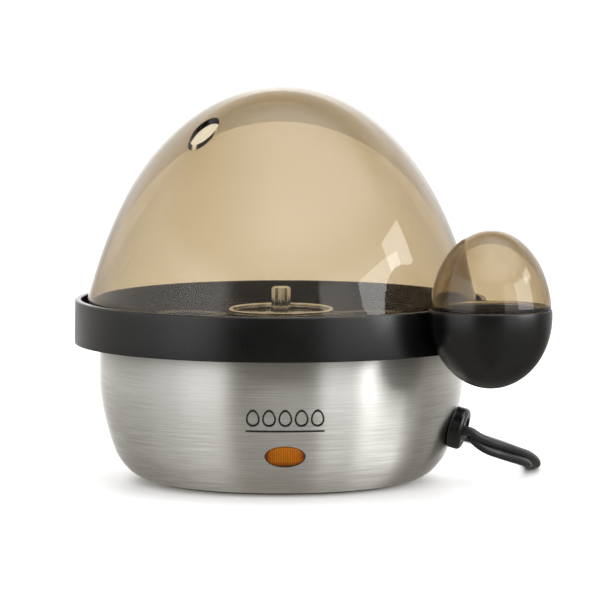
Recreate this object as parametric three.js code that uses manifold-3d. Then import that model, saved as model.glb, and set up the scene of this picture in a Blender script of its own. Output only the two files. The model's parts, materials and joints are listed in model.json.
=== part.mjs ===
// Egg cooker with a steel base, a smoked egg-shaped lid and an egg-shaped measuring cup pod.
// Millimetres, +Z up. The origin is the centre of the bottom cover's flat underside.
// The front, with the power button, faces -Y, and the power cord leaves on the +X side.
import * as THREE from 'three';
import { mergeVertices } from 'three/addons/utils/BufferGeometryUtils.js';
import Module from 'manifold-3d';

const wasm = await Module();
wasm.setup();

// ---------- driving dimensions ----------
const GAP = 0.3; // clearance between touching pieces
const FINE = 36; // facets around the large round pieces
const COARSE = 24; // facets around the middle-sized ones

const BASE_RADIUS = 82.5;
const SHEET = 0.9; // base shell wall
const SHELL_TOP = 64.2;
const FLOOR = -0.8; // underside of the feet
const FOOT_PLUG_HOLE = 2.8;
const COVER_THICKNESS = 3;
const COVER_RADIUS = 56.5; // fits inside the shell's turned-in bottom edge
const COVER_LIP = { radius: 59.3, bottom: 1.4 }; // rests on that edge
const COOLING_SLOTS = { count: 8, length: 13, width: 2.6, ring: 28 };
const SCREW_RADIUS = 1.6;
const SCREW_HEAD_RADIUS = 3.9;
const STANDOFF_RADIUS = 3.8;

const BAND_BOTTOM = 62;
const BAND_TOP = 82;
const BAND_RADIUS = 93.6;
const BAND_INNER = 90.9;
const LEDGE_BOTTOM = 66.7;
const LEDGE_TOP = 69;
const LEDGE_INNER = 81;

const DOME_APEX = 178.8;
const DOME_WALL = 2.2;
const DOME_FOOT = LEDGE_TOP + GAP;
const DOME_FOOT_RADIUS = 88.5;
// radius squared of the dome at depth d below its apex is d * (a - b*d + c*d*d)
const DOME_CURVE = { a: 124.75, b: 0.589, c: 0.00131 };

const VENT_RADIUS = 6.6;
const VENT_AZIMUTH = -139.5; // degrees from +X, on the front left
const VENT_RING = 46; // the upright bore's distance from the axis
const VENT_BOTTOM = 140; // below the wall that the bore goes through

const POD_AZIMUTH = -38;
const POD_DISTANCE = 115.6;
const POD_RIM_Z = BAND_TOP + 1.3;
const POD_DEPTH = 35.2;
const POD_WELL_FLOOR = 54;
const POD_WELL_RADIUS = 24.8;
const POD_CURVE = { a: 46.5, b: 0.72, c: 0 };

const CUP_FOOT_Z = POD_RIM_Z + GAP;
const CUP_RISE = 35;
const CUP_WALL = 1.6;
const CUP_RADIUS = 26.9;
const CUP_SPIGOT = 4;
const CUP_CURVE = { a: 38.4, b: 0.5, c: 0 };

const PAN_RIM_Z = 66.4;
const PAN_FLOOR_Z = 51;
const PAN_FLOOR_UNDER = 49;
const ELEMENT_RING = 38;
const ELEMENT_RADIUS = 3.3;
const ELEMENT_ENDS = [206, 514]; // degrees; the second end is past a full turn
const BRACKET_SCREW_X = 24;
const TERMINAL_BLOCK = { size: [12, 24, 10], centre: [50, 6, 8.6], pitch: 8 };
const FUSE_PLACE = [-30, -4, 33];
const WIRE_RADIUS = 1.1;
const CORD_TAIL_RADIUS = 2.8;

const TRAY_BOTTOM = PAN_RIM_Z + GAP;
const TRAY_PLATE = 1.8;
const TRAY_RADIUS = 80;
const SEAT_COUNT = 7;
const SEAT_RING = 51.9;
const SEAT_HOLE = 15;
const COLLAR_WALL = 1.8;
const COLLAR_TOP = 72.5;
const STEAM_RING = 69;
const STEAM_HOLE = 3;
const HUB_RADIUS = 23.8;
const HUB_TOP = 75.8;
const HUB_TRIM_TOP = 77.6;
const HUB_TRIM_INNER = 21.8;
const KNOB_TOP = 87.2;
const KNOB_RADIUS = 3.9;
const KNOB_FLUTE = 0.45; // depth of the knob's flutes
const KNOB_STEM_RADIUS = 2.2;

const BUTTON_Z = 18.5;
const BUTTON_WALL_RADIUS = 77.6; // base radius at the button's height
const BUTTON_TILT = 17.4; // degrees that the wall leans there
const LENS_HALF_WIDTH = 8.75;
const LENS_HALF_HEIGHT = 4.7;
const LENS_CLEARANCE = 0.35;
const SPRING = { radius: 3.2, wire: 0.4, turns: 5, front: -7.1, length: 12 };
const SWITCH_TERMINAL_X = 6;
const LAMP_X = 7.4;

const GLAND_AZIMUTH = -14;
const GLAND_Z = 25.4;
const GLAND_WALL_RADIUS = 79.5;
const GLAND_TILT = 15;
const GLAND_RADIUS = 9.6;
const GLAND_OUTER_FACE = 6;

const STANDOFF_RING = 50;
const STANDOFF_ANGLES = [90, 210, 330];
const FOOT_RING = 46;
const FOOT_ANGLES = [45, 135, 225, 315];

const CORD_RADIUS = 4;
const COIL_CENTRE = [15, 165];
const COIL_INNER = 29.5;
const COIL_OUTER = 45.5;
const COIL_TOP = 8.9;
const PLUG_X = COIL_CENTRE[0] - 41.2;
const PLUG_START_Y = 138.8;
const PLUG_Z = 6.3;

// route of the free cord's centre line, from the gland's face to the coil
const CORD_ROUTE = [
  [84.7, -21.1, 22.9],
  [87.8, -20.6, 19.9],
  [93.2, -18.0, 16.3],
  [99.6, -14.0, 13.6],
  [106.0, -7.5, 10.9],
  [111.5, 3.0, 8.1],
  [115.2, 17.0, 5.3],
  [116.8, 32.0, 3.7],
  [116.8, 48.0, 3.3],
  [115.2, 65.0, 3.3],
  [112.4, 82.0, 3.3],
  [108.6, 99.0, 3.3],
  [103.8, 117.0, 3.3],
  [98.0, 135.0, 3.3],
  [90.6, 153.0, 3.3],
  [81.0, 170.5, 3.3],
  [68.5, 186.0, 3.3],
  [54.2, 197.6, 3.3],
];

// ---------- materials ----------
function finish(color, roughness, metalness, opacity = 1) {
  return new THREE.MeshStandardMaterial({
    color, roughness, metalness, opacity, transparent: opacity < 1,
  });
}
const brushedSteel = finish(0xb9b8b0, 0.35, 1);
const plainSteel = finish(0xa0a2a4, 0.4, 1);
const polishedSteel = finish(0xd2cfc6, 0.15, 1);
const nonStick = finish(0x2a2b2d, 0.55, 0.3);
const blackPlastic = finish(0x1b1d1f, 0.42, 0);
const darkRubber = finish(0x141414, 0.8, 0);
const smokedPlastic = finish(0xbfae8a, 0.08, 0, 0.45);
const clearSmoke = finish(0xcfc6b4, 0.15, 0, 0.5);
const amberLens = finish(0xb06014, 0.2, 0, 0.85);
const ceramic = finish(0xd8d2c4, 0.7, 0);
const brass = finish(0xb08d4a, 0.35, 1);
const silicone = finish(0x8c3a2c, 0.7, 0);
const whiteInsulation = finish(0xe4e2dc, 0.6, 0);
const blueInsulation = finish(0x2f5d9a, 0.5, 0);
const glass = finish(0xf0b080, 0.05, 0, 0.5);

// ---------- geometry helpers ----------
const degrees = (angle) => (angle * Math.PI) / 180;
const onRing = (radius, angle) => [
  radius * Math.cos(degrees(angle)), radius * Math.sin(degrees(angle)),
];

function signedVolume(position, index) {
  const a = new THREE.Vector3();
  const b = new THREE.Vector3();
  const c = new THREE.Vector3();
  let sum = 0;
  for (let i = 0; i < index.length; i += 3) {
    a.fromBufferAttribute(position, index[i]);
    b.fromBufferAttribute(position, index[i + 1]);
    c.fromBufferAttribute(position, index[i + 2]);
    sum += a.dot(b.cross(c));
  }
  return sum / 6;
}

// One closed surface with shared corners, no flat triangles, and its faces pointing out.
function closed(geometry) {
  const bare = geometry.clone();
  bare.deleteAttribute('normal');
  bare.deleteAttribute('uv');
  const merged = mergeVertices(bare, 1e-3);
  const kept = [];
  const old = merged.index.array;
  for (let i = 0; i < old.length; i += 3) {
    const [a, b, c] = [old[i], old[i + 1], old[i + 2]];
    if (a !== b && b !== c && c !== a) kept.push(a, b, c);
  }
  if (signedVolume(merged.attributes.position, kept) < 0) kept.reverse();
  merged.setIndex(kept);
  return merged;
}

function toSolid(geometry) {
  const shape = closed(geometry);
  const mesh = new wasm.Mesh({
    numProp: 3,
    vertProperties: new Float32Array(shape.attributes.position.array),
    triVerts: new Uint32Array(shape.index.array),
  });
  return new wasm.Manifold(mesh);
}

function fromSolid(solid) {
  const mesh = solid.getMesh();
  const geometry = new THREE.BufferGeometry();
  geometry.setAttribute('position', new THREE.BufferAttribute(mesh.vertProperties, 3));
  geometry.setIndex(Array.from(mesh.triVerts));
  return geometry;
}

function join(first, ...others) {
  return fromSolid(others.reduce((sum, next) => sum.add(toSolid(next)), toSolid(first)));
}

function cut(first, ...tools) {
  return fromSolid(tools.reduce((rest, tool) => rest.subtract(toSolid(tool)), toSolid(first)));
}

// Profile of [radius, z] corners turned about the Z axis.
function revolve(profile, segments = 32) {
  const points = profile.map(([r, z]) => new THREE.Vector2(r, z));
  return closed(new THREE.LatheGeometry(points, segments).rotateX(Math.PI / 2));
}

function ring(inner, outer, bottom, top, segments = 32) {
  return revolve([
    [inner, bottom], [outer, bottom], [outer, top], [inner, top], [inner, bottom],
  ], segments);
}

function rod(radius, bottom, top, segments = 24) {
  return revolve([[0, bottom], [radius, bottom], [radius, top], [0, top]], segments);
}

function box(x, y, z, centre = [0, 0, 0]) {
  return new THREE.BoxGeometry(x, y, z).translate(...centre);
}

function ellipsePrism(halfWidth, halfHeight, bottom, top, segments = 32) {
  return rod(1, bottom, top, segments).scale(halfWidth, halfHeight, 1);
}

function tube(points, radius, sides, steps) {
  const path = new THREE.CatmullRomCurve3(points.map((p) => new THREE.Vector3(...p)));
  const section = new THREE.Shape();
  for (let i = 0; i < sides; i += 1) {
    const angle = (2 * Math.PI * i) / sides;
    const corner = [radius * Math.cos(angle), radius * Math.sin(angle)];
    if (i === 0) section.moveTo(...corner);
    else section.lineTo(...corner);
  }
  section.closePath();
  return new THREE.ExtrudeGeometry(section, { steps, extrudePath: path });
}

function eggRadius(depth, curve) {
  return Math.sqrt(depth * (curve.a - curve.b * depth + curve.c * depth * depth));
}

// [radius, depth] points from the tip of an egg to the given depth, closer together at the tip.
function eggProfile(curve, depth, steps) {
  const points = [];
  for (let i = 0; i <= steps; i += 1) {
    const d = depth * (i / steps) ** 2;
    points.push([eggRadius(d, curve), d]);
  }
  return points;
}

// Moves every point of an open profile sideways by the distance; points on the axis stay on it.
function offsetProfile(points, distance) {
  return points.map(([r, z], i) => {
    if (r < 1e-6) return [0, z + distance];
    const [r0, z0] = points[Math.max(i - 1, 0)];
    const [r1, z1] = points[Math.min(i + 1, points.length - 1)];
    const length = Math.hypot(r1 - r0, z1 - z0);
    return [r - (distance * (z1 - z0)) / length, z + (distance * (r1 - r0)) / length];
  });
}

function piece(name, geometry, material, parent) {
  const mesh = new THREE.Mesh(geometry, material);
  mesh.name = name;
  parent.add(mesh);
  return mesh;
}

// ---------- steel base ----------
function lensOpening(bottom, top) {
  return ellipsePrism(
    LENS_HALF_WIDTH + LENS_CLEARANCE, LENS_HALF_HEIGHT + LENS_CLEARANCE, bottom, top,
  );
}

function baseWallProfile() {
  const corners = [
    [57, 0], [61, 0.3], [65.2, 1.8], [70.3, 5.5], [75.5, 13],
    [79.9, 27], [82.3, 41], [BASE_RADIUS, 52],
  ];
  const curve = new THREE.SplineCurve(corners.map(([r, z]) => new THREE.Vector2(r, z)));
  return curve.getPoints(8).map((p) => [p.x, p.y]);
}

function baseShell() {
  const outside = [...baseWallProfile(), [BASE_RADIUS, SHELL_TOP - 1]];
  const inside = offsetProfile(outside, SHEET);
  inside[0] = [57, SHEET];
  const rolledLip = [
    [BASE_RADIUS - 0.4, SHELL_TOP], [77, SHELL_TOP], [77, SHELL_TOP - SHEET],
    [BASE_RADIUS - SHEET, SHELL_TOP - SHEET],
  ];
  inside.pop();
  const profile = [...outside, ...rolledLip, ...inside.reverse(), outside[0]];
  const window = lensOpening(-8, 8)
    .rotateX(Math.PI / 2 + degrees(BUTTON_TILT))
    .translate(0, -BUTTON_WALL_RADIUS, BUTTON_Z);
  const cordHole = rod(5.4, -8, 8)
    .rotateY(Math.PI / 2 + degrees(GLAND_TILT))
    .translate(GLAND_WALL_RADIUS, 0, GLAND_Z)
    .rotateZ(degrees(GLAND_AZIMUTH));
  return cut(revolve(profile, FINE), window, cordHole);
}

function bottomCover() {
  const disc = revolve([
    [0, 0], [COVER_RADIUS, 0], [COVER_RADIUS, COVER_LIP.bottom], [COVER_LIP.radius, COVER_LIP.bottom],
    [COVER_LIP.radius, COVER_THICKNESS], [0, COVER_THICKNESS],
  ], FINE);
  const tools = [];
  for (const angle of STANDOFF_ANGLES) {
    const [x, y] = onRing(STANDOFF_RING, angle);
    tools.push(rod(SCREW_RADIUS + 0.5, -1, COVER_THICKNESS + 1, 12).translate(x, y, 0));
    tools.push(rod(SCREW_HEAD_RADIUS + 0.4, -1, 1.4 + GAP, 16).translate(x, y, 0));
  }
  for (const angle of FOOT_ANGLES) {
    const [x, y] = onRing(FOOT_RING, angle);
    tools.push(rod(FOOT_PLUG_HOLE, -1, COVER_THICKNESS + 1, 12).translate(x, y, 0));
  }
  const { count, length, width, ring: slotRing } = COOLING_SLOTS;
  for (let i = 0; i < count; i += 1) {
    const angle = degrees((360 * (i + 0.5)) / count);
    tools.push(box(length, width, 8, [slotRing, 0, COVER_THICKNESS / 2]).rotateZ(angle));
  }
  return cut(disc, ...tools);
}

function foot() {
  return revolve([
    [0, FLOOR], [5.8, FLOOR], [6.6, FLOOR + 0.3], [6.6, -GAP], [2.4, -GAP],
    [2.4, 3.3], [3.7, 3.5], [2.2, 6], [0, 6],
  ], 14);
}

function coverScrew() {
  return revolve([
    [0, 0.4], [SCREW_HEAD_RADIUS - 0.4, 0.4], [SCREW_HEAD_RADIUS, 0.8], [SCREW_HEAD_RADIUS, 1.4],
    [SCREW_RADIUS, 1.4], [SCREW_RADIUS, 13], [0, 14],
  ], 16);
}

function standoff() {
  const bore = SCREW_RADIUS + 0.8;
  const bottom = COVER_THICKNESS + GAP;
  const top = PAN_FLOOR_UNDER - GAP;
  return revolve([
    [0, 16], [bore, 16], [bore, bottom], [STANDOFF_RADIUS, bottom], [STANDOFF_RADIUS, top], [0, top],
  ], 6);
}

// ---------- heater ----------
function waterPan() {
  return revolve([
    [0, PAN_FLOOR_Z - 0.6], [30, PAN_FLOOR_Z - 0.4], [56, PAN_FLOOR_Z], [63, 53.2], [69, 57.8],
    [72.6, 63], [74, PAN_RIM_Z], [83.6, PAN_RIM_Z], [84.2, PAN_RIM_Z - 0.6], [84.2, 62.9],
    [83.4, 62.9], [83.4, 65.5], [75.2, 65.5], [73.8, 62.2], [70, 56.6], [63.6, 51.6],
    [56.4, PAN_FLOOR_UNDER], [0, PAN_FLOOR_UNDER],
  ], FINE);
}

function heatingElement() {
  const z = PAN_FLOOR_UNDER - 3 * GAP - ELEMENT_RADIUS;
  const points = [];
  const [startX, startY] = onRing(ELEMENT_RING, ELEMENT_ENDS[0]);
  points.push([startX + 1, startY, z - 15], [startX + 0.5, startY, z - 6]);
  for (let angle = ELEMENT_ENDS[0] + 8; angle < ELEMENT_ENDS[1]; angle += 18.25) {
    points.push([...onRing(ELEMENT_RING, angle), z]);
  }
  const [endX, endY] = onRing(ELEMENT_RING, ELEMENT_ENDS[1]);
  points.push([endX + 0.5, endY, z - 6], [endX + 1, endY, z - 15]);
  return tube(points, ELEMENT_RADIUS, 8, 36);
}

function elementTerminal(angle) {
  const [x, y] = onRing(ELEMENT_RING, angle);
  return box(0.8, 6.3, 8, [x + 1, y, 25.2]);
}

function thermostat() {
  return revolve([[0, 40], [8.6, 40], [8.6, 46.6], [9.4, 46.9], [9.4, 48.6], [0, 48.6]], 24);
}

function thermostatBracket() {
  const strap = box(40, 8, 0.8, [0, 0, 39]);
  const legs = [-1, 1].map((side) => box(0.8, 8, 9.9, [side * 19.6, 0, 43.6]));
  const feet = [-1, 1].map((side) => box(8, 8, 0.8, [side * 23.2, 0, 48.2]));
  const holes = [-1, 1].map((side) => rod(1.8, 45, 50, 12)
    .translate(side * BRACKET_SCREW_X, 0, 0));
  return cut(join(strap, ...legs, ...feet), ...holes);
}

function bracketScrew() {
  return revolve([[0, 45.4], [3, 45.4], [3, 47.4], [1.4, 47.4], [1.4, 48.7], [0, 48.7]], 12);
}

function terminalBlock() {
  const { size, centre: [x, y, z], pitch } = TERMINAL_BLOCK;
  const screwHoles = [-1, 0, 1].map((step) => rod(1.9, 8, 20, 8).translate(x, y + step * pitch, 0));
  return cut(box(...size, [x, y, z]), ...screwHoles);
}

function wire(...points) {
  return tube(points, WIRE_RADIUS, 8, 4 * (points.length - 2));
}

// ---------- power button, in its own frame: +Z out through the wall, 0 at the wall's face ----------
function powerButton() {
  const lens = revolve([
    [0, -6], [1, -6], [1, -0.5], [0.93, 0.1], [0.75, 0.55], [0.4, 0.85], [0, 0.95],
  ], 32).scale(LENS_HALF_WIDTH, LENS_HALF_HEIGHT, 1);
  const flange = ellipsePrism(10, 5.8, -6.4, -4.6);
  const stem = rod(2, -16, -6, 16);
  return join(lens, flange, stem);
}

function buttonBezel() {
  return cut(ellipsePrism(11.6, 7.4, -4.2, -2.6), lensOpening(-5, -1));
}

function switchHousing() {
  const outer = box(26, 16, 19.5, [0, 0, -14.25]);
  return cut(outer, box(22.6, 13, 17, [0, 0, -11.5]));
}

function buttonSpring() {
  const perTurn = 7;
  const steps = SPRING.turns * perTurn;
  const points = [];
  for (let i = 0; i <= steps; i += 1) {
    const angle = (2 * Math.PI * i) / perTurn;
    const z = SPRING.front - (SPRING.length * i) / steps;
    points.push([SPRING.radius * Math.cos(angle), SPRING.radius * Math.sin(angle), z]);
  }
  return tube(points, SPRING.wire, 5, steps);
}

function neonLamp() {
  return revolve([[0, -19.6], [2, -19.6], [2, -12.5], [1.2, -11], [0, -10.6]], 16);
}

// ---------- gland, in its own frame: +Z out through the wall, 0 at the wall's face ----------
function strainRelief() {
  return revolve([
    [0, -4], [5.8, -4], [6.3, -2.2], [5, -2], [5, 0.3], [9, -0.1], [GLAND_RADIUS, 0.5],
    [GLAND_RADIUS, GLAND_OUTER_FACE - 1.2], [8.4, GLAND_OUTER_FACE], [0, GLAND_OUTER_FACE],
  ], 24);
}

// ---------- lid ----------
function podOutline() {
  return eggProfile(POD_CURVE, POD_DEPTH, 7).map(([r, d]) => [r, POD_RIM_Z - POD_DEPTH + d]);
}

function lidRing() {
  const band = revolve([
    [BAND_RADIUS + 0.3, BAND_BOTTOM], [BAND_RADIUS, BAND_TOP - 1.2], [BAND_RADIUS - 0.7, BAND_TOP],
    [BAND_INNER + 0.5, BAND_TOP], [BAND_INNER, BAND_TOP - 0.8], [BAND_INNER, LEDGE_TOP],
    [LEDGE_INNER, LEDGE_TOP], [LEDGE_INNER, LEDGE_BOTTOM], [84.8, LEDGE_BOTTOM], [84.8, 62.6],
    [86.3, 62.6], [86.3, LEDGE_BOTTOM], [BAND_INNER + 0.5, LEDGE_BOTTOM],
    [BAND_INNER + 0.5, BAND_BOTTOM], [BAND_RADIUS + 0.3, BAND_BOTTOM],
  ], FINE);
  const [x, y] = onRing(POD_DISTANCE, POD_AZIMUTH);
  const egg = revolve([...podOutline(), [0, POD_RIM_Z]], COARSE).translate(x, y, 0);
  const bay = rod(BAND_INNER, LEDGE_TOP, BAND_TOP + 10, FINE);
  const wellWall = podOutline()
    .filter(([, z]) => z > POD_WELL_FLOOR + 4)
    .map(([r, z]) => [Math.min(r - 2.3, POD_WELL_RADIUS), z]);
  const well = revolve([
    [0, POD_WELL_FLOOR], [9, POD_WELL_FLOOR], ...wellWall, [POD_WELL_RADIUS, POD_RIM_Z + 1],
    [0, POD_RIM_Z + 1],
  ], COARSE).translate(x, y, 0);
  return cut(join(band, cut(egg, bay)), well);
}

function domeOutline() {
  const depth = DOME_APEX - BAND_TOP;
  return eggProfile(DOME_CURVE, depth, 8).map(([r, d]) => [r, DOME_APEX - d]);
}

function dome() {
  const outside = [...domeOutline(), [DOME_FOOT_RADIUS, DOME_FOOT + 2]];
  const inside = offsetProfile(outside, -DOME_WALL);
  inside[inside.length - 1] = [DOME_FOOT_RADIUS - DOME_WALL, DOME_FOOT];
  const shell = revolve([
    ...outside, [90.3, DOME_FOOT + 2], [90.3, DOME_FOOT], ...inside.reverse(),
  ], FINE);
  const [x, y] = onRing(VENT_RING, VENT_AZIMUTH);
  const vent = rod(VENT_RADIUS, VENT_BOTTOM, DOME_APEX, 28).translate(x, y, 0);
  return cut(shell, vent);
}

function measuringCup() {
  const outside = eggProfile(CUP_CURVE, CUP_RISE, 6)
    .map(([r, d]) => [Math.min(r, CUP_RADIUS), CUP_FOOT_Z + CUP_RISE - d]);
  const inside = offsetProfile(outside, -CUP_WALL);
  const spigot = POD_WELL_RADIUS - 0.5;
  inside[inside.length - 1] = [spigot - 1.5, CUP_FOOT_Z];
  return revolve([
    ...outside, [spigot, CUP_FOOT_Z], [spigot, CUP_FOOT_Z - CUP_SPIGOT],
    [spigot - 1.5, CUP_FOOT_Z - CUP_SPIGOT], ...inside.reverse(),
  ], COARSE);
}

function piercingPin() {
  return revolve([
    [0, POD_WELL_FLOOR + GAP], [4, POD_WELL_FLOOR + GAP], [4, 56.4], [0.8, 57.2], [0.8, 71],
    [0, 74],
  ], 16);
}

// ---------- egg tray ----------
function trayKnob() {
  const flutes = 8;
  const points = 32;
  const outline = new THREE.Shape();
  for (let i = 0; i < points; i += 1) {
    const angle = (2 * Math.PI * i) / points;
    const radius = KNOB_RADIUS + KNOB_FLUTE * Math.cos(flutes * angle);
    const corner = [radius * Math.cos(angle), radius * Math.sin(angle)];
    if (i === 0) outline.moveTo(...corner);
    else outline.lineTo(...corner);
  }
  outline.closePath();
  const bottom = HUB_TOP + GAP;
  const grip = new THREE.ExtrudeGeometry(outline, { depth: KNOB_TOP - bottom, bevelEnabled: false })
    .translate(0, 0, bottom);
  return join(grip, rod(KNOB_STEM_RADIUS, HUB_TOP - TRAY_PLATE - 1, bottom + 1, 16));
}

function eggTray() {
  const top = TRAY_BOTTOM + TRAY_PLATE;
  const plate = revolve([
    [0, HUB_TOP], [HUB_RADIUS - 0.6, HUB_TOP], [HUB_RADIUS, HUB_TOP - 0.6],
    [HUB_RADIUS + 0.4, top], [TRAY_RADIUS, top], [TRAY_RADIUS, TRAY_BOTTOM],
    [HUB_RADIUS - 1.4, TRAY_BOTTOM], [HUB_RADIUS - 1.8, HUB_TOP - TRAY_PLATE],
    [0, HUB_TOP - TRAY_PLATE],
  ], FINE);
  const collars = [];
  const holes = [rod(KNOB_STEM_RADIUS + GAP, 60, 80, 16)];
  for (let i = 0; i < SEAT_COUNT; i += 1) {
    const angle = 90 + (360 * i) / SEAT_COUNT;
    const [x, y] = onRing(SEAT_RING, angle);
    collars.push(rod(SEAT_HOLE + COLLAR_WALL, TRAY_BOTTOM, COLLAR_TOP, 16).translate(x, y, 0));
    holes.push(rod(SEAT_HOLE, 60, 80, 16).translate(x, y, 0));
    const [steamX, steamY] = onRing(STEAM_RING, angle + 180 / SEAT_COUNT);
    holes.push(rod(STEAM_HOLE, 60, 80, 8).translate(steamX, steamY, 0));
  }
  return cut(join(plate, ...collars), ...holes);
}

// ---------- plug, along -Y from its cord ----------
function plugBody() {
  const shape = new THREE.Shape();
  shape.moveTo(-3.8, 0);
  shape.lineTo(3.8, 0);
  shape.lineTo(4.6, 11);
  shape.bezierCurveTo(8.5, 12, 11, 16, 11, 22);
  shape.lineTo(11, 33);
  shape.lineTo(-11, 33);
  shape.lineTo(-11, 22);
  shape.bezierCurveTo(-11, 16, -8.5, 12, -4.6, 11);
  shape.closePath();
  const thickness = 13;
  return new THREE.ExtrudeGeometry(shape, {
    depth: thickness, bevelEnabled: false, curveSegments: 5,
  }).translate(0, 0, -thickness / 2).rotateX(Math.PI);
}

// ---------- assembly ----------
const eggCooker = new THREE.Group();

const base = new THREE.Group();
eggCooker.add(base);
piece('base_shell', baseShell(), brushedSteel, base);
piece('bottom_cover', bottomCover(), blackPlastic, base);
FOOT_ANGLES.forEach((angle, i) => {
  const [x, y] = onRing(FOOT_RING, angle);
  piece(`foot_${i + 1}`, foot(), darkRubber, base).position.set(x, y, 0);
});
STANDOFF_ANGLES.forEach((angle, i) => {
  const [x, y] = onRing(STANDOFF_RING, angle);
  piece(`cover_screw_${i + 1}`, coverScrew(), plainSteel, base).position.set(x, y, 0);
  piece(`standoff_${i + 1}`, standoff(), plainSteel, base).position.set(x, y, 0);
});

const heater = new THREE.Group();
base.add(heater);
piece('pan_gasket', ring(77.4, 82, 64.5, 65.2, FINE), silicone, heater);
piece('water_pan', waterPan(), nonStick, heater);
piece('heating_element', heatingElement(), plainSteel, heater);
ELEMENT_ENDS.forEach((angle, i) => {
  piece(`element_terminal_${i + 1}`, elementTerminal(angle), brass, heater);
});
piece('thermostat', thermostat(), ceramic, heater);
piece('thermostat_bracket', thermostatBracket(), plainSteel, heater);
[-1, 1].forEach((side, i) => {
  piece(`bracket_screw_${i + 1}`, bracketScrew(), plainSteel, heater)
    .position.x = side * BRACKET_SCREW_X;
});
piece('thermal_fuse', rod(2, -6, 6, 12).rotateX(Math.PI / 2), plainSteel, heater)
  .position.set(...FUSE_PLACE);
piece('terminal_block', terminalBlock(), whiteInsulation, heater);

const button = new THREE.Group();
button.rotation.x = Math.PI / 2 + degrees(BUTTON_TILT);
button.position.set(0, -BUTTON_WALL_RADIUS, BUTTON_Z);
base.add(button);
piece('power_button', powerButton(), amberLens, button);
piece('button_bezel', buttonBezel(), blackPlastic, button);
piece('switch_housing', switchHousing(), blackPlastic, button);
piece('button_spring', buttonSpring(), plainSteel, button);
piece('neon_lamp', neonLamp(), glass, button).position.x = LAMP_X;
[-1, 1].forEach((side, i) => {
  piece(`switch_terminal_${i + 1}`, box(4.8, 0.8, 7), brass, button)
    .position.set(side * SWITCH_TERMINAL_X, 0, -27.8);
});

const gland = new THREE.Group();
gland.rotation.set(0, Math.PI / 2 + degrees(GLAND_TILT), degrees(GLAND_AZIMUTH), 'ZYX');
gland.position.set(...onRing(GLAND_WALL_RADIUS, GLAND_AZIMUTH), GLAND_Z);
base.add(gland);
piece('strain_relief', strainRelief(), blackPlastic, gland);

const wiring = new THREE.Group();
base.add(wiring);
piece('cord_tail', tube([
  [72.8, -18.2, 26.6], [67.6, -16.6, 27.6], [61, -12, 26.6], [54.6, -3.6, 22], [51, 4, 17],
], CORD_TAIL_RADIUS, 8, 10), darkRubber, wiring);
piece('wire_live', wire(
  [42.9, -2, 9], [36, -8, 9], [26, -26, 14], [12, -40, 24], [8, -45.4, 28.2],
), blueInsulation, wiring);
piece('wire_neutral', wire(
  [43.3, 10, 9], [30, 10, 11], [0, 2, 17], [-20, -10, 22], [-31.5, -16.7, 19.8],
), whiteInsulation, wiring);
piece('wire_heater', wire(
  [-8, -45.4, 28.2], [-16, -38, 31], [-26, -24, 34], [-30, -11.4, 33],
), whiteInsulation, wiring);
piece('wire_fuse', wire(
  [-30, 3.4, 33], [-27, 9, 30], [-26, 14, 23], [-29, 16.7, 17.5], [-33, 16.7, 19.4],
), whiteInsulation, wiring);

const cord = new THREE.Group();
eggCooker.add(cord);
piece('power_cord', tube(CORD_ROUTE, CORD_RADIUS, 8, 30), darkRubber, cord);
piece('cord_coil', ring(COIL_INNER, COIL_OUTER, FLOOR, COIL_TOP, 32), darkRubber, cord)
  .position.set(...COIL_CENTRE, 0);
const plug = new THREE.Group();
plug.position.set(PLUG_X, PLUG_START_Y, PLUG_Z);
cord.add(plug);
piece('plug_body', plugBody(), darkRubber, plug);
[-1, 1].forEach((side, i) => {
  piece(`plug_blade_${i + 1}`, box(1.5, 16, 6.3, [side * 6.35, -41.3, 0]), brass, plug);
});

const lid = new THREE.Group();
eggCooker.add(lid);
const [podX, podY] = onRing(POD_DISTANCE, POD_AZIMUTH);
piece('lid_ring', lidRing(), blackPlastic, lid);
piece('dome', dome(), smokedPlastic, lid);
piece('dome_retainer', ring(88.9, BAND_INNER - GAP, DOME_FOOT + 2.3, DOME_FOOT + 4, FINE),
  blackPlastic, lid);
piece('piercing_pin', piercingPin(), plainSteel, lid).position.set(podX, podY, 0);
piece('measuring_cup', measuringCup(), smokedPlastic, lid).position.set(podX, podY, 0);

const tray = new THREE.Group();
eggCooker.add(tray);
piece('egg_tray', eggTray(), clearSmoke, tray);
piece('tray_knob', trayKnob(), polishedSteel, tray);
piece('hub_trim', ring(HUB_TRIM_INNER, HUB_RADIUS, HUB_TOP + GAP, HUB_TRIM_TOP, FINE), polishedSteel,
  tray);

export default eggCooker;
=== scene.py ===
"""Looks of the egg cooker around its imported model.

Lengths in the tables are millimetres; the mesh is in metres.
"""

import json
import math

import bmesh
import bpy
from mathutils import Matrix, Vector


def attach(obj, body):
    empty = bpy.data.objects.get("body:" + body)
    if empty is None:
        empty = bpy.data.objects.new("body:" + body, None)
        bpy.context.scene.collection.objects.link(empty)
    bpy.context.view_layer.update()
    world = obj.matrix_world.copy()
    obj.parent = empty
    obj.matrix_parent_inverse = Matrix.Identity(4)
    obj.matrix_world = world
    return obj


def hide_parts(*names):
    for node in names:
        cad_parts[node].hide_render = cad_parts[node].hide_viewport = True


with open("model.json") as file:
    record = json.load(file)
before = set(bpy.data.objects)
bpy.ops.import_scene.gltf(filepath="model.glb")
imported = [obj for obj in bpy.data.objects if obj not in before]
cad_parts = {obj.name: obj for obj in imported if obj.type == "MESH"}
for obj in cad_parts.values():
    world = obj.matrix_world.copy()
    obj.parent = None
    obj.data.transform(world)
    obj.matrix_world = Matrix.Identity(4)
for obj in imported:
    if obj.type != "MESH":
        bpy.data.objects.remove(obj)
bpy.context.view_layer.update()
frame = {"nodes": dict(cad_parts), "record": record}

# ---------- dimensions shared with the CAD model, in mm ----------
ROUND = 180  # segments round the large pieces
FLOOR = -0.8  # what the feet and the cord lie on

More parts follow.
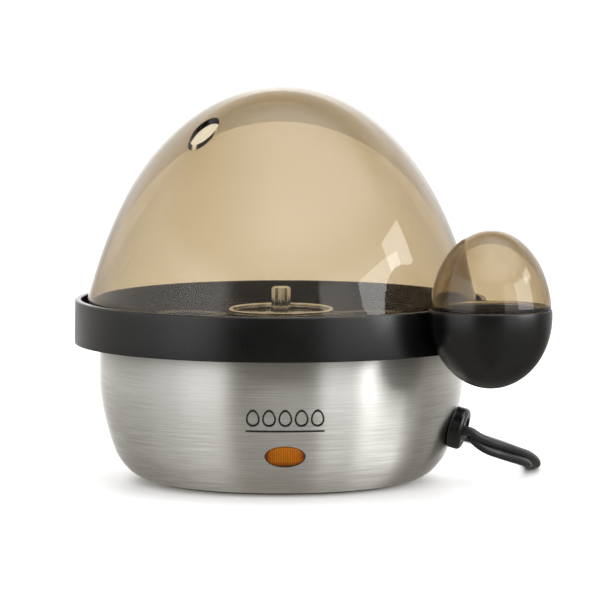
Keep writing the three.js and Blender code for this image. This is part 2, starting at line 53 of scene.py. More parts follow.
BASE_RADIUS = 82.5
SHEET = 0.9
SHELL_TOP = 64.2
BASE_CORNERS = [
    (57, 0), (61, 0.3), (65.2, 1.8), (70.3, 5.5), (75.5, 13),
    (79.9, 27), (82.3, 41), (BASE_RADIUS, 52),
]

BAND_BOTTOM, BAND_TOP = 62, 82
BAND_RADIUS, BAND_INNER = 93.6, 90.9
LEDGE_BOTTOM, LEDGE_TOP, LEDGE_INNER = 66.7, 69, 81

DOME_APEX, DOME_WALL = 178.8, 2.2
DOME_FOOT, DOME_FOOT_RADIUS = 69.3, 88.5
DOME_CURVE = (124.75, 0.589, 0.00131)  # radius squared = d * (a - b*d + c*d*d) at depth d
VENT_RADIUS, VENT_AZIMUTH, VENT_RING = 6.6, -139.5, 46

POD_AZIMUTH, POD_DISTANCE = -38, 115.6
POD_RIM_Z, POD_DEPTH = 83.3, 35.2
POD_WELL_FLOOR, POD_WELL_RADIUS = 54, 24.8
POD_CURVE = (46.5, 0.72, 0)

CUP_FOOT_Z, CUP_RISE, CUP_WALL, CUP_RADIUS = 83.6, 35, 1.6, 26.9
CUP_CURVE = (38.4, 0.5, 0)

PAN_RIM_Z = 66.4
TRAY_BOTTOM, TRAY_TOP, TRAY_RADIUS = 66.7, 68.5, 80
SEAT_COUNT, SEAT_RING, SEAT_HOLE, COLLAR_TOP = 7, 51.9, 15, 72.5
HUB_RADIUS, HUB_TOP, HUB_TRIM_INNER, HUB_TRIM_TOP = 23.8, 75.8, 21.8, 77.6
KNOB_TOP, KNOB_RADIUS, KNOB_FLUTE, KNOB_STEM_RADIUS = 87.2, 3.9, 0.45, 2.2

BUTTON_Z, BUTTON_WALL_RADIUS, BUTTON_TILT = 18.5, 77.6, 17.4
LENS_HALF_WIDTH, LENS_HALF_HEIGHT, LENS_CLEARANCE = 8.75, 4.7, 0.35
GLAND_AZIMUTH, GLAND_Z, GLAND_WALL_RADIUS, GLAND_TILT = -14, 25.4, 79.5, 15
GLAND_RADIUS, GLAND_FACE = 9.6, 6
MARK_Z, RULE_BOTTOM, RULE_WIDTH = 36.2, 29.9, 35.2  # printed eggs' middle, and the rule under them
FOOT_RING, FOOT_ANGLES = 46, (45, 135, 225, 315)

CORD_ROUTE = [
    (84.7, -21.1, 22.9), (87.8, -20.6, 19.9), (93.2, -18.0, 16.3), (99.6, -14.0, 13.6),
    (106.0, -7.5, 10.9), (111.5, 3.0, 8.1), (115.2, 17.0, 5.3), (116.8, 32.0, 3.7),
    (116.8, 48.0, 3.3), (115.2, 65.0, 3.3), (112.4, 82.0, 3.3), (108.6, 99.0, 3.3),
    (103.8, 117.0, 3.3), (98.0, 135.0, 3.3), (90.6, 153.0, 3.3), (81.0, 170.5, 3.3),
    (68.5, 186.0, 3.3), (54.2, 197.6, 3.3),
]
CORD_WIDTH, CORD_LOBE = 8.0, 2.05  # a flat twin cord: its width and the radius of one conductor
CORD_REST = 3.3  # height of the CAD cord's middle where it lies on the floor
COIL_CENTRE, COIL_OUT, COIL_IN = (15, 165), 41.2, 33.8
PLUG_X, PLUG_START_Y, PLUG_Z = -26.2, 138.8, 6.3


# ---------- camera ----------
def add_camera():
    """A long lens a little above the worktop, and a little to the left of straight ahead."""
    azimuth, elevation, distance = math.radians(-1.5), math.radians(5.3), 2.5
    seen_width = 0.2727
    across = Vector((math.cos(azimuth), math.sin(azimuth), 0))
    target = across * 0.0086 + Vector((0, 0, 0.0810))
    back = Vector((
        math.sin(azimuth) * math.cos(elevation),
        -math.cos(azimuth) * math.cos(elevation),
        math.sin(elevation),
    ))
    data = bpy.data.cameras.new("camera")
    data.sensor_width = 36
    data.lens = data.sensor_width * distance / seen_width
    data.clip_start, data.clip_end = 0.05, 100
    camera = bpy.data.objects.new("camera", data)
    camera.location = target + back * distance
    camera.rotation_mode = "QUATERNION"
    camera.rotation_quaternion = (-back).to_track_quat("-Z", "Y")
    bpy.context.scene.collection.objects.link(camera)
    bpy.context.scene.camera = camera


add_camera()


# ---------- material nodes ----------
def add_node(tree, kind, inputs=None, **settings):
    """A new node with its settings; each input is linked to a socket or set to a value."""
    node = tree.nodes.new(kind)
    for key, value in settings.items():
        setattr(node, key, value)
    for key, value in (inputs or {}).items():
        if isinstance(value, bpy.types.NodeSocket):
            tree.links.new(value, node.inputs[key])
        else:
            node.inputs[key].default_value = value
    return node


def mix_colours(tree, factor, first, second):
    """A colour between two, by a factor that a socket gives."""
    node = add_node(tree, "ShaderNodeMix", {0: factor}, data_type="RGBA")
    colours = {"A_Color": first, "B_Color": second}
    for socket in node.inputs:
        if socket.identifier in colours:
            socket.default_value = (*colours[socket.identifier], 1)
    return next(socket for socket in node.outputs if socket.identifier == "Result_Color")


class Shader:
    """A material with one Principled shader, and short calls for the nodes behind it."""

    def __init__(self, name, **values):
        self.material = bpy.data.materials.new(name)
        self.material.use_nodes = True
        self.tree = self.material.node_tree
        self.surface = self.tree.nodes["Principled BSDF"]
        self.output = self.tree.nodes["Material Output"]
        for socket, value in values.items():
            self.surface.inputs[socket.replace("_", " ")].default_value = value
        self.coords = self.tree.nodes.new("ShaderNodeTexCoord").outputs["Object"]

    def node(self, kind, inputs=None, **settings):
        return add_node(self.tree, kind, inputs, **settings)

    def math(self, operation, a, b=0.0):
        return self.node("ShaderNodeMath", {0: a, 1: b}, operation=operation).outputs[0]

    def noise(self, scale, detail=3.0, vector=None, roughness=0.55):
        inputs = {
            "Vector": vector or self.coords, "Scale": scale, "Detail": detail,
            "Roughness": roughness,
        }
        return self.node("ShaderNodeTexNoise", inputs).outputs["Fac"]

    def span(self, value, low, high, source=(0.3, 0.7)):
        inputs = {0: value, 1: source[0], 2: source[1], 3: low, 4: high}
        return self.node("ShaderNodeMapRange", inputs).outputs[0]

    def blend(self, factor, first, second):
        return mix_colours(self.tree, factor, first, second)

    def drive(self, socket, value):
        self.tree.links.new(value, self.surface.inputs[socket])

    def bump(self, height, strength, distance_mm):
        node = self.node("ShaderNodeBump", {
            "Height": height, "Strength": strength, "Distance": distance_mm / 1000,
        })
        self.drive("Normal", node.outputs["Normal"])

    def round_coords(self, along, around):
        """Coordinates that run fast up the Z axis and slowly round it, for turned brush lines."""
        x, y, z = self.node("ShaderNodeSeparateXYZ", {0: self.coords}).outputs
        angle = self.math("ARCTAN2", y, x)
        parts = {0: self.math("MULTIPLY", angle, around), 1: self.math("MULTIPLY", z, along)}
        return self.node("ShaderNodeCombineXYZ", parts).outputs[0]


def brushed_steel():
    s = Shader("brushed_steel", Metallic=1.0, Anisotropic=1.0, Anisotropic_Rotation=0.25)
    lines = s.noise(1.0, 5.0, s.round_coords(1700, 2.6), 0.7)
    patches = s.noise(14, 2.0)
    s.drive("Base Color", s.blend(s.span(lines, 0, 1), (0.63, 0.615, 0.575), (0.92, 0.91, 0.89)))
    s.drive("Roughness", s.math("ADD", s.span(lines, 0.32, 0.42), s.span(patches, -0.02, 0.03)))
    tangent = s.node("ShaderNodeTangent", direction_type="RADIAL", axis="Z").outputs[0]
    s.drive("Tangent", tangent)
    s.bump(lines, 0.22, 0.05)
    return s.material


def plain_steel():
    s = Shader("plain_steel", Metallic=1.0)
    grain = s.noise(900, 4.0)
    s.drive("Base Color", s.blend(s.span(grain, 0, 1), (0.46, 0.47, 0.48), (0.66, 0.67, 0.68)))
    s.drive("Roughness", s.span(s.noise(120, 3.0), 0.26, 0.42))
    s.bump(grain, 0.15, 0.05)
    return s.material


def polished_steel():
    s = Shader("polished_steel", Metallic=1.0)
    tone = s.span(s.noise(200, 3.0), 0, 1)
    s.drive("Base Color", s.blend(tone, (0.80, 0.79, 0.76), (0.88, 0.87, 0.85)))
    s.drive("Roughness", s.span(s.noise(300, 3.0), 0.08, 0.16))
    s.bump(s.noise(2400, 2.0), 0.05, 0.02)
    return s.material


def brass():
    s = Shader("brass", Metallic=1.0)
    stain = s.noise(160, 4.0)
    s.drive("Base Color", s.blend(s.span(stain, 0, 1), (0.60, 0.44, 0.22), (0.76, 0.62, 0.36)))
    s.drive("Roughness", s.span(s.noise(400, 3.0), 0.22, 0.38))
    s.bump(s.noise(1500, 2.0), 0.1, 0.03)
    return s.material


def moulded(name, dark, light, roughness, grain_mm, depth_mm, specular=0.5):
    """Opaque moulded plastic or rubber with a fine surface grain and faint uneven gloss."""
    s = Shader(name, Specular_IOR_Level=specular)
    grain = s.noise(1000 / grain_mm, 3.0)
    s.drive("Base Color", s.blend(s.span(s.noise(60, 3.0), 0, 1), dark, light))
    s.drive("Roughness", s.math(
        "ADD", s.span(s.noise(35, 2.0), roughness[0], roughness[1]), s.span(grain, -0.02, 0.02),
    ))
    s.bump(grain, 0.4, depth_mm)
    return s.material


def non_stick():
    s = Shader("non_stick_coating", Specular_IOR_Level=0.5)
    flecks = s.node("ShaderNodeTexVoronoi", {"Vector": s.coords, "Scale": 700}).outputs[0]
    fleck = s.node("ShaderNodeMapRange", {0: flecks, 1: 0.05, 2: 0.14, 3: 1, 4: 0}).outputs[0]
    s.drive("Base Color", s.blend(fleck, (0.020, 0.020, 0.022), (0.13, 0.13, 0.14)))
    s.drive("Roughness", s.span(s.noise(50, 3.0), 0.34, 0.46))
    s.bump(s.noise(1800, 3.0), 0.3, 0.04)
    return s.material


def smoked(name, roughness, absorbed, density, tint=(0.97, 0.96, 0.94)):
    """Clear plastic that takes its colour from how far the light goes through it."""
    s = Shader(name, Transmission_Weight=0.993, IOR=1.46)
    ripple = s.noise(22, 2.0)
    s.drive("Base Color", s.blend(s.span(s.noise(9, 2.0), 0, 1), tint, (0.985, 0.98, 0.97)))
    s.drive("Roughness", s.span(s.noise(240, 3.0), roughness[0], roughness[1]))
    s.bump(ripple, 0.02, 0.4)
    volume = s.node("ShaderNodeVolumeAbsorption", {
        "Color": (*[1 - a for a in absorbed], 1), "Density": density,
    })
    s.tree.links.new(volume.outputs[0], s.output.inputs["Volume"])
    return s.material


def amber_lens():
    s = Shader(
        "amber_lens", Specular_IOR_Level=0.08, Subsurface_Weight=0.2, Subsurface_Scale=0.0015,
    )
    s.surface.inputs["Subsurface Radius"].default_value = (1.0, 0.35, 0.05)
    x, _, z = s.node("ShaderNodeSeparateXYZ", {0: s.coords}).outputs
    # Painted shade in the base colour: the lens darkens towards its left and right ends and towards its
    # lower edge, where its underside sits in shade, and the ribs paint light and dark upright stripes over
    # their bump; the noise adds a random tone.
    side = s.math("POWER", s.math("ABSOLUTE", s.math("MULTIPLY", x, 1000 / LENS_HALF_WIDTH)), 5.0)
    low = s.span(z, 0.75, 0, ((BUTTON_Z - 4.6) / 1000, (BUTTON_Z - 1.8) / 1000))
    ribs = s.math("SINE", s.math("MULTIPLY", x, 2 * math.pi / 0.00098))
    shade = s.math("ADD", s.math("ADD", side, low), s.span(ribs, 0, 0.4, (-1, 1)))
    shade = s.math("ADD", shade, s.math("MULTIPLY", s.noise(260, 3.0), 0.2))
    shade = s.span(shade, 0, 1, (0.1, 1.0))
    s.drive("Base Color", s.blend(shade, (0.325, 0.098, 0.004), (0.08, 0.012, 0.001)))
    s.drive("Roughness", s.span(s.noise(500, 2.0), 0.16, 0.3))
    s.bump(ribs, 0.5, 0.12)
    return s.material


def lamp_glass():
    s = Shader("lamp_glass", Transmission_Weight=1.0, IOR=1.5)
    s.drive("Base Color", s.blend(s.noise(120, 2.0), (0.95, 0.62, 0.40), (0.98, 0.80, 0.62)))
    s.drive("Roughness", s.span(s.noise(200, 2.0), 0.02, 0.08))
    return s.material


SMOKE = (0.455, 0.586, 0.855)  # share of red, green and blue that the smoked plastic takes out
MATERIALS = {
    "brushed_steel": brushed_steel(),
    "plain_steel": plain_steel(),
    "polished_steel": polished_steel(),
    "brass": brass(),
    "non_stick_coating": non_stick(),
    "black_plastic": moulded(
        "black_plastic", (0.0009, 0.00095, 0.0011), (0.0022, 0.0024, 0.0026), (0.24, 0.32), 0.5, 0.03,
    ),
    "smoked_plastic": smoked("smoked_plastic", (0.0, 0.012), SMOKE, 380),
    "smoked_cup": smoked("smoked_cup", (0.0, 0.012), SMOKE, 620),
    "clear_plastic": smoked("clear_plastic", (0.02, 0.10), (0.30, 0.36, 0.44), 110),
    "amber_lens": amber_lens(),
    "cord_rubber": moulded(
        "cord_rubber", (0.006, 0.006, 0.007), (0.011, 0.011, 0.012), (0.36, 0.48), 0.7, 0.05,
    ),
    "foot_rubber": moulded(
        "foot_rubber", (0.014, 0.014, 0.014), (0.024, 0.024, 0.024), (0.6, 0.75), 0.6, 0.06,
    ),
    "silicone": moulded("silicone", (0.30, 0.08, 0.05), (0.40, 0.11, 0.08), (0.45, 0.6), 0.9, 0.05),
    "white_plastic": moulded(
        "white_plastic", (0.68, 0.67, 0.63), (0.80, 0.79, 0.75), (0.35, 0.5), 0.8, 0.04,
    ),
    "ceramic": moulded("ceramic", (0.62, 0.59, 0.52), (0.78, 0.75, 0.68), (0.6, 0.75), 0.5, 0.06),
    "white_insulation": moulded(
        "white_insulation", (0.66, 0.65, 0.62), (0.80, 0.79, 0.76), (0.5, 0.65), 0.6, 0.08,
    ),
    "blue_insulation": moulded(
        "blue_insulation", (0.05, 0.12, 0.32), (0.09, 0.19, 0.42), (0.4, 0.55), 0.6, 0.06,
    ),
    "lamp_glass": lamp_glass(),
}


# ---------- mesh helpers ----------
def spline(points, steps):
    """Points on a smooth curve through all of the given ones, as many as steps between each two."""
    knots = [Vector(p) for p in points]
    result = []
    for i in range(len(knots) - 1):
        p1, p2 = knots[i], knots[i + 1]
        p0, p3 = knots[max(i - 1, 0)], knots[min(i + 2, len(knots) - 1)]
        for k in range(steps):
            t = k / steps
            result.append(
                p1 + (p2 - p0) * (0.5 * t)
                + (p0 * 2 - p1 * 5 + p2 * 4 - p3) * (0.5 * t * t)
                + (p1 * 3 - p0 - p2 * 3 + p3) * (0.5 * t ** 3)
            )
    return result + [knots[-1]]


def rounded(corners, steps=4):
    """A closed profile whose corners (r, z, radius) become arcs; (r, z) stays sharp."""
    result = []
    count = len(corners)
    for i, corner in enumerate(corners):
        here = Vector(corner[:2])
        if len(corner) < 3:
            result.append(here)
            continue
        before, after = Vector(corners[i - 1][:2]), Vector(corners[(i + 1) % count][:2])
        start = here + (before - here).normalized() * min(corner[2], (before - here).length / 2)
        end = here + (after - here).normalized() * min(corner[2], (after - here).length / 2)
        for k in range(steps + 1):
            t = k / steps
            result.append(start * (1 - t) ** 2 + here * (2 * t * (1 - t)) + end * t ** 2)
    return result


def egg_profile(curve, depth, steps):
    """(radius, depth) points from an egg's tip, closer together at the tip."""
    a, b, c = curve
    depths = [depth * (i / steps) ** 2 for i in range(steps + 1)]
    return [Vector((math.sqrt(d * (a - b * d + c * d * d)), d)) for d in depths]


def offset(points, distance):
    """An open profile moved sideways; its points on the axis stay there."""
    result = []
    for i, point in enumerate(points):
        if point[0] < 1e-6:
            result.append(Vector((0, point[1] + distance)))
            continue
        step = Vector(points[min(i + 1, len(points) - 1)]) - Vector(points[max(i - 1, 0)])
        step.normalize()
        result.append(Vector((point[0] - distance * step[1], point[1] + distance * step[0])))
    return result


def mesh_from(name, vertices, faces):
    """Mesh data from millimetre points, with its faces turned outwards and close points merged."""
    mesh = bpy.data.meshes.new(name)
    mesh.from_pydata([tuple(c / 1000 for c in v) for v in vertices], [], faces)
    work = bmesh.new()
    work.from_mesh(mesh)
    bmesh.ops.remove_doubles(work, verts=work.verts, dist=1e-6)
    bmesh.ops.recalc_face_normals(work, faces=work.faces)
    work.to_mesh(mesh)
    work.free()
    return mesh


def ring_faces(start, count):
    """Quads between the ring of points that begins at start and the next ring."""
    return [
        [start + k, start + (k + 1) % count, start + count + (k + 1) % count, start + count + k]
        for k in range(count)
    ]


def end_faces(vertices, count):
    """The first and the last ring as faces."""
    return [list(range(count)), list(range(len(vertices) - count, len(vertices)))]


def lathe(name, profile, segments=ROUND):
    """A closed profile of (r, z) corners turned about Z. Corners on the axis become one point."""
    vertices, rows = [], []
    for r, z in (p[:2] for p in profile):
        if abs(r) < 1e-6:
            rows.append([len(vertices)] * segments)
            vertices.append((0, 0, z))
            continue
        rows.append(list(range(len(vertices), len(vertices) + segments)))
        for i in range(segments):
            angle = 2 * math.pi * i / segments
            vertices.append((r * math.cos(angle), r * math.sin(angle), z))
    faces = []
    for j, row in enumerate(rows):
        following = rows[(j + 1) % len(rows)]
        if row[0] == row[1] and following[0] == following[1]:
            continue
        for i in range(segments):
            k = (i + 1) % segments
            corners = [row[i], row[k], following[k], following[i]]
            faces.append(list(dict.fromkeys(corners)))
    return mesh_from(name, vertices, faces)


def prism(name, outline, low, high):
    """An outline of (x, y) points drawn out between two heights."""
    count = len(outline)
    vertices = [(x, y, z) for z in (low, high) for x, y in outline]
    faces = [list(range(count)), list(range(count, 2 * count))]
    faces += [[i, (i + 1) % count, count + (i + 1) % count, count + i] for i in range(count)]
    return mesh_from(name, vertices, faces)


def circle(radius, count=48, centre=(0, 0), squeeze=1.0):
    angles = [2 * math.pi * i / count for i in range(count)]
    return [
        (centre[0] + radius * math.cos(a), centre[1] + radius * squeeze * math.sin(a)) for a in angles
    ]


def on_ring(radius, degrees):
    angle = math.radians(degrees)
    return Vector((radius * math.cos(angle), radius * math.sin(angle), 0))


def moved(mesh, x=0.0, y=0.0, z=0.0, turn=None):
    """The mesh turned and then moved, in millimetres."""
    place = Matrix.Translation(Vector((x, y, z)) / 1000)
    mesh.transform(place @ turn if turn else place)
    return mesh


def merged(name, meshes):
    """Several closed meshes that don't touch, as one."""
    work = bmesh.new()
    for mesh in meshes:
        work.from_mesh(mesh)
        bpy.data.meshes.remove(mesh)
    result = bpy.data.meshes.new(name)
    work.to_mesh(result)
    work.free()
    return result


def combine(mesh, tool, operation):
    """The mesh joined with the tool, or with the tool cut out of it."""
    objects = [bpy.data.objects.new("work", data) for data in (mesh, tool)]
    for obj in objects:
        bpy.context.scene.collection.objects.link(obj)
    modifier = objects[0].modifiers.new("combine", "BOOLEAN")
    modifier.object, modifier.operation, modifier.solver = objects[1], operation, "EXACT"
    evaluated = objects[0].evaluated_get(bpy.context.evaluated_depsgraph_get())
    result = bpy.data.meshes.new_from_object(evaluated)
    for obj in objects:
        data = obj.data
        bpy.data.objects.remove(obj)
        bpy.data.meshes.remove(data)
    return result


def piece(name, mesh, body, slot, replaced=(), sharp_degrees=32, finish=None):
    """A visible piece: smooth but for edges sharper than the angle, on a body, with a slot's finish."""
    mesh.name = name
    mesh.materials.clear()
    mesh.materials.append(MATERIALS[finish or slot])
    mesh.polygons.foreach_set("use_smooth", [True] * len(mesh.polygons))
    mesh.set_sharp_from_angle(angle=math.radians(sharp_degrees))
    obj = bpy.data.objects.new(name, mesh)
    bpy.context.scene.collection.objects.link(obj)
    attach(obj, body)
    if replaced:
        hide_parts(*replaced)
    return obj


def wall_frame(azimuth, radius, z, tilt):
    """The place on the base's wall at an azimuth: local +Z out of the wall, local +Y up along it."""
    outward = on_ring(1, azimuth) * math.cos(math.radians(tilt))
    outward.z = -math.sin(math.radians(tilt))
    across = Vector((0, 0, 1)).cross(outward).normalized()
    up = outward.cross(across)
    turn = Matrix((across, up, outward)).transposed().to_4x4()
    return Matrix.Translation((on_ring(radius, azimuth) + Vector((0, 0, z))) / 1000) @ turn


BUTTON_FRAME = wall_frame(-90, BUTTON_WALL_RADIUS, BUTTON_Z, BUTTON_TILT)
GLAND_FRAME = wall_frame(GLAND_AZIMUTH, GLAND_WALL_RADIUS, GLAND_Z, GLAND_TILT)


# ---------- cord, coil and plug ----------
def smooth(value, start, length):
    """From 0 at start to 1 a length further on, easing in and out."""
    share = min(max((value - start) / length, 0), 1)
    return share * share * (3 - 2 * share)


def coil_knots():
    """Two and a quarter turns: out, in, then up over the first turn to the plug."""
    knots = []
    for angle in range(90, 901, 30):
        inward = min(max((angle - 390) / 90, 0), 1) - min(max((angle - 790) / 80, 0), 1)
        lift = min(max((angle - 780) / 90, 0), 1)
        radius = COIL_OUT + (COIL_IN - COIL_OUT) * inward
        spot = on_ring(radius, angle)
        z = CORD_REST + 3.4 * lift * lift * (3 - 2 * lift)
        knots.append((COIL_CENTRE[0] + spot.x, COIL_CENTRE[1] + spot.y, z))
    return knots


def cord_section():
    """The cord's outline: two round conductors joined at a waist."""
    lobe = CORD_WIDTH / 2 - CORD_LOBE
    sweep = 2 * (math.pi - math.acos(lobe / CORD_LOBE))
    section = []
    for side in (1, -1):
        for k in range(13):
            angle = (k / 12 - 0.5) * sweep
            across = side * (lobe + CORD_LOBE * math.cos(angle))
            section.append((across, side * CORD_LOBE * math.sin(angle)))
    return section


def cord_piece():
    """The whole lead. It leaves the gland near level, turns on edge, and lies flat on the floor."""
    root = GLAND_FRAME @ Vector((0, -0.0012, 0.0035)) * 1000
    knots = [root, *CORD_ROUTE, (36, 203.8, CORD_REST), *coil_knots(), (PLUG_X, 150, 6.4),
             (PLUG_X, PLUG_START_Y - 3, PLUG_Z)]
    centres = spline(knots, 5)
    section = cord_section()
    vertices, faces, path = [], [], []
    count = len(section)
    run = 0.0
    for i, centre in enumerate(centres):
        if i:
            run += (centre - centres[i - 1]).length
        settle = smooth(run, 44, 36)
        along = (centres[min(i + 1, len(centres) - 1)] - centres[max(i - 1, 0)]).normalized()
        roll = -math.radians((12 + 78 * smooth(run, 2, 22)) * (1 - settle))
        side = along.cross(Vector((0, 0, 1))).normalized()
        flat = Matrix.Rotation(roll, 3, along) @ side
        thick = flat.cross(along)
        middle = centre - Vector((0, 0, (CORD_REST - FLOOR - CORD_LOBE) * settle))
        path.append(middle / 1000)
        vertices += [middle + flat * x + thick * y for x, y in section]
        if i:
            faces += ring_faces((i - 1) * count, count)
    faces += end_faces(vertices, count)
    mesh = mesh_from("power_lead", vertices, faces)
    return piece("power_lead", mesh, "base", "cord_rubber", ("power_cord", "cord_coil")), path


def plug_piece():
    """A flat moulded plug: rings of rounded rectangles from the cord's sleeve to its face."""
    stations = [
        (0, 3.4, 3.4), (1.2, 3.8, 3.8), (10, 4.4, 4.2), (13, 7.4, 5.2), (17, 10.1, 6.1), (22, 10.9, 6.4),
        (26, 10.4, 6.1), (30, 10.9, 6.4), (32.3, 10.9, 6.4), (33, 10.3, 5.9),
    ]
    rows = spline([(y, w, t) for y, w, t in stations], 4)
    count = 40
    vertices, faces = [], []
    for i, (y, wide, thick) in enumerate(rows):
        grip = 0.35 * max(0.0, math.sin((y - 1.2) * math.pi / 1.5)) if y < 10 else 0.0
        for k in range(count):
            angle = 2 * math.pi * k / count
            c, s = math.cos(angle), math.sin(angle)
            power = 0.55 if y > 12 else 0.85
            x = math.copysign(abs(c) ** power, c) * (wide - grip)
            z = math.copysign(abs(s) ** power, s) * (thick - grip)
            vertices.append((PLUG_X + x, PLUG_START_Y - y, PLUG_Z + z))
        if i:
            faces += ring_faces((i - 1) * count, count)
    faces += end_faces(vertices, count)
    mesh = mesh_from("moulded_plug", vertices, faces)
    return piece("moulded_plug", mesh, "base", "cord_rubber", ("plug_body",), 40)


lead, lead_path = cord_piece()
plug = plug_piece()


# ---------- base ----------
def steel_shell():
    outside = spline(BASE_CORNERS, 10) + [Vector((BASE_RADIUS, SHELL_TOP - 1))]
    inside = offset(outside, SHEET)
    inside[0] = Vector((57, SHEET))
    lip = rounded([
        (BASE_RADIUS, SHELL_TOP - 1), (BASE_RADIUS, SHELL_TOP, 0.8), (77, SHELL_TOP),
    ])[1:-1]
    under = [Vector((77, SHELL_TOP)), Vector((77, SHELL_TOP - SHEET)),
             Vector((BASE_RADIUS - SHEET, SHELL_TOP - SHEET))]
    shell = lathe("steel_shell", outside + lip + under + inside[-2::-1])
    half_width, half_height = LENS_HALF_WIDTH + LENS_CLEARANCE, LENS_HALF_HEIGHT + LENS_CLEARANCE
    window = prism("window", circle(half_width, 72, squeeze=half_height / half_width), -8, 8)
    window.transform(BUTTON_FRAME)
    hole = prism("hole", circle(5.4), -8, 8)
    hole.transform(GLAND_FRAME)
    shell = combine(shell, merged("openings", [window, hole]), "DIFFERENCE")
    piece("steel_shell", shell, "base", "brushed_steel", ("base_shell",))


def front_mark():
    """A plain printed row of egg outlines over a rule, laid on the wall above the button."""
    lift = 0.06
    vertices, faces = [], []
    wall = [(p[1], p[0]) for p in spline(BASE_CORNERS, 10)]

    def wall_point(across, z):
        below = max(w for w in wall if w[0] <= z)
        above = min(w for w in wall if w[0] > z)
        share = (z - below[0]) / (above[0] - below[0])
        radius = below[1] + (above[1] - below[1]) * share + lift
        angle = math.radians(-90) + across / radius
        return (radius * math.cos(angle), radius * math.sin(angle), z)

    def ribbon(inner, outer):
        faces.extend(ring_faces(len(vertices), len(inner)))
        vertices.extend(wall_point(*p) for p in inner + outer)

    def egg(centre, size):
        angles = [2 * math.pi * k / 48 for k in range(48)]
        return [
            (centre + size * (0.78 - 0.12 * math.sin(a)) * math.cos(a), MARK_Z + size * math.sin(a))
            for a in angles
        ]

    for k in range(5):
        ribbon(egg(7.2 * (k - 2), 2.9), egg(7.2 * (k - 2), 3.9))
    low, high = RULE_BOTTOM, RULE_BOTTOM + 0.8
    steps = 24
    for k in range(steps):
        left, right = (RULE_WIDTH * ((k + edge) / steps - 0.5) for edge in (0, 1))
        start = len(vertices)
        corners = ((left, low), (right, low), (right, high), (left, high))
        vertices.extend(wall_point(*corner) for corner in corners)
        faces.append([start, start + 1, start + 2, start + 3])
    mesh = mesh_from("front_mark", vertices, faces)
    obj = piece("front_mark", mesh, "base", "black_plastic")
    skin = obj.modifiers.new("ink", "SOLIDIFY")
    skin.thickness, skin.offset = 0.00005, 0


def feet():
    profile = rounded([
        (0, FLOOR), (5.8, FLOOR, 0.2), (6.6, FLOOR + 0.3, 0.1), (6.6, -0.3, 0.1), (2.4, -0.3),
        (2.4, 3.3), (3.7, 3.5), (2.2, 6), (0, 6),
    ])
    for i, angle in enumerate(FOOT_ANGLES):
        place = on_ring(FOOT_RING, angle)
        mesh = moved(lathe("foot", profile, 40), place.x, place.y)
        piece(f"rubber_foot_{i + 1}", mesh, "base", "foot_rubber", (f"foot_{i + 1}",))


def pan():
    profile = rounded([
        (0, 50.4), (30, 50.6), (56, 51, 5), (63, 53.2, 3), (69, 57.8, 3), (72.6, 63, 2),
        (74, PAN_RIM_Z, 0.8), (83.6, PAN_RIM_Z, 0.4), (84.2, PAN_RIM_Z - 0.6, 0.3), (84.2, 62.9, 0.2),
        (83.4, 62.9, 0.2), (83.4, 65.5, 0.3), (75.2, 65.5, 0.6), (73.8, 62.2, 2), (70, 56.6, 3),
        (63.6, 51.6, 3), (56.4, 49, 4), (0, 49),
    ])
    piece("heating_pan", lathe("pan", profile, 144), "base", "non_stick_coating", ("water_pan",))


def lens():
    """An amber lens with upright ribs, its flange behind the bezel and its stem."""
    outline = [(0, 0.95), (0.4, 0.85), (0.75, 0.55), (0.93, 0.1), (1, -0.5)]
    rows = spline(outline, 8)
    count, pitch = 144, 1.46
    vertices, faces = [(0, 0, 0.95)], []
    for r, z in rows[1:]:
        for k in range(count):
            angle = 2 * math.pi * k / count
            x, y = LENS_HALF_WIDTH * r * math.cos(angle), LENS_HALF_HEIGHT * r * math.sin(angle)
            fade = max(0.0, 1 - r ** 6)
            rib = 0.26 * fade * (abs(math.cos(math.pi * x / pitch)) - 1)
            vertices.append((x, y, z + rib))
    for depth, widen in ((-4.6, 1.0), (-4.6, 10 / LENS_HALF_WIDTH), (-6.4, 10 / LENS_HALF_WIDTH)):
        for k in range(count):
            angle = 2 * math.pi * k / count
            x, y = LENS_HALF_WIDTH * math.cos(angle), LENS_HALF_HEIGHT * math.sin(angle)
            vertices.append((widen * x, widen * y, depth))
    levels = len(rows) - 1 + 3
    faces += [[0, 1 + k, 1 + (k + 1) % count] for k in range(count)]
    for j in range(levels - 1):
        faces += ring_faces(1 + j * count, count)
    faces.append([1 + (levels - 1) * count + k for k in range(count)])
    mesh = mesh_from("lens", vertices, faces)
    stem = lathe("stem", rounded([(0, -16), (2, -16, 0.4), (2, -6.2), (0, -6.2)]), 40)
    mesh = combine(mesh, stem, "UNION")
    mesh.transform(BUTTON_FRAME)
    piece("amber_button", mesh, "button", "amber_lens", ("power_button",), 60)


def gland():
    profile = rounded([
        (0, -4), (5.8, -4, 0.3), (6.3, -2.2, 0.3), (5, -2), (5, 0.2), (9, -0.2, 0.2),
        (GLAND_RADIUS, 0.4, 0.4), (GLAND_RADIUS, GLAND_FACE - 1.1, 0.8), (8.3, GLAND_FACE, 0.5),
        (5.6, GLAND_FACE, 0.3), (5.2, GLAND_FACE - 0.7, 0.3), (0, GLAND_FACE - 0.7),
    ])
    mesh = lathe("gland", profile, 72)
    mesh.transform(GLAND_FRAME)
    piece("cord_gland", mesh, "base", "black_plastic", ("strain_relief",))


steel_shell()
front_mark()
feet()
pan()
lens()
gland()


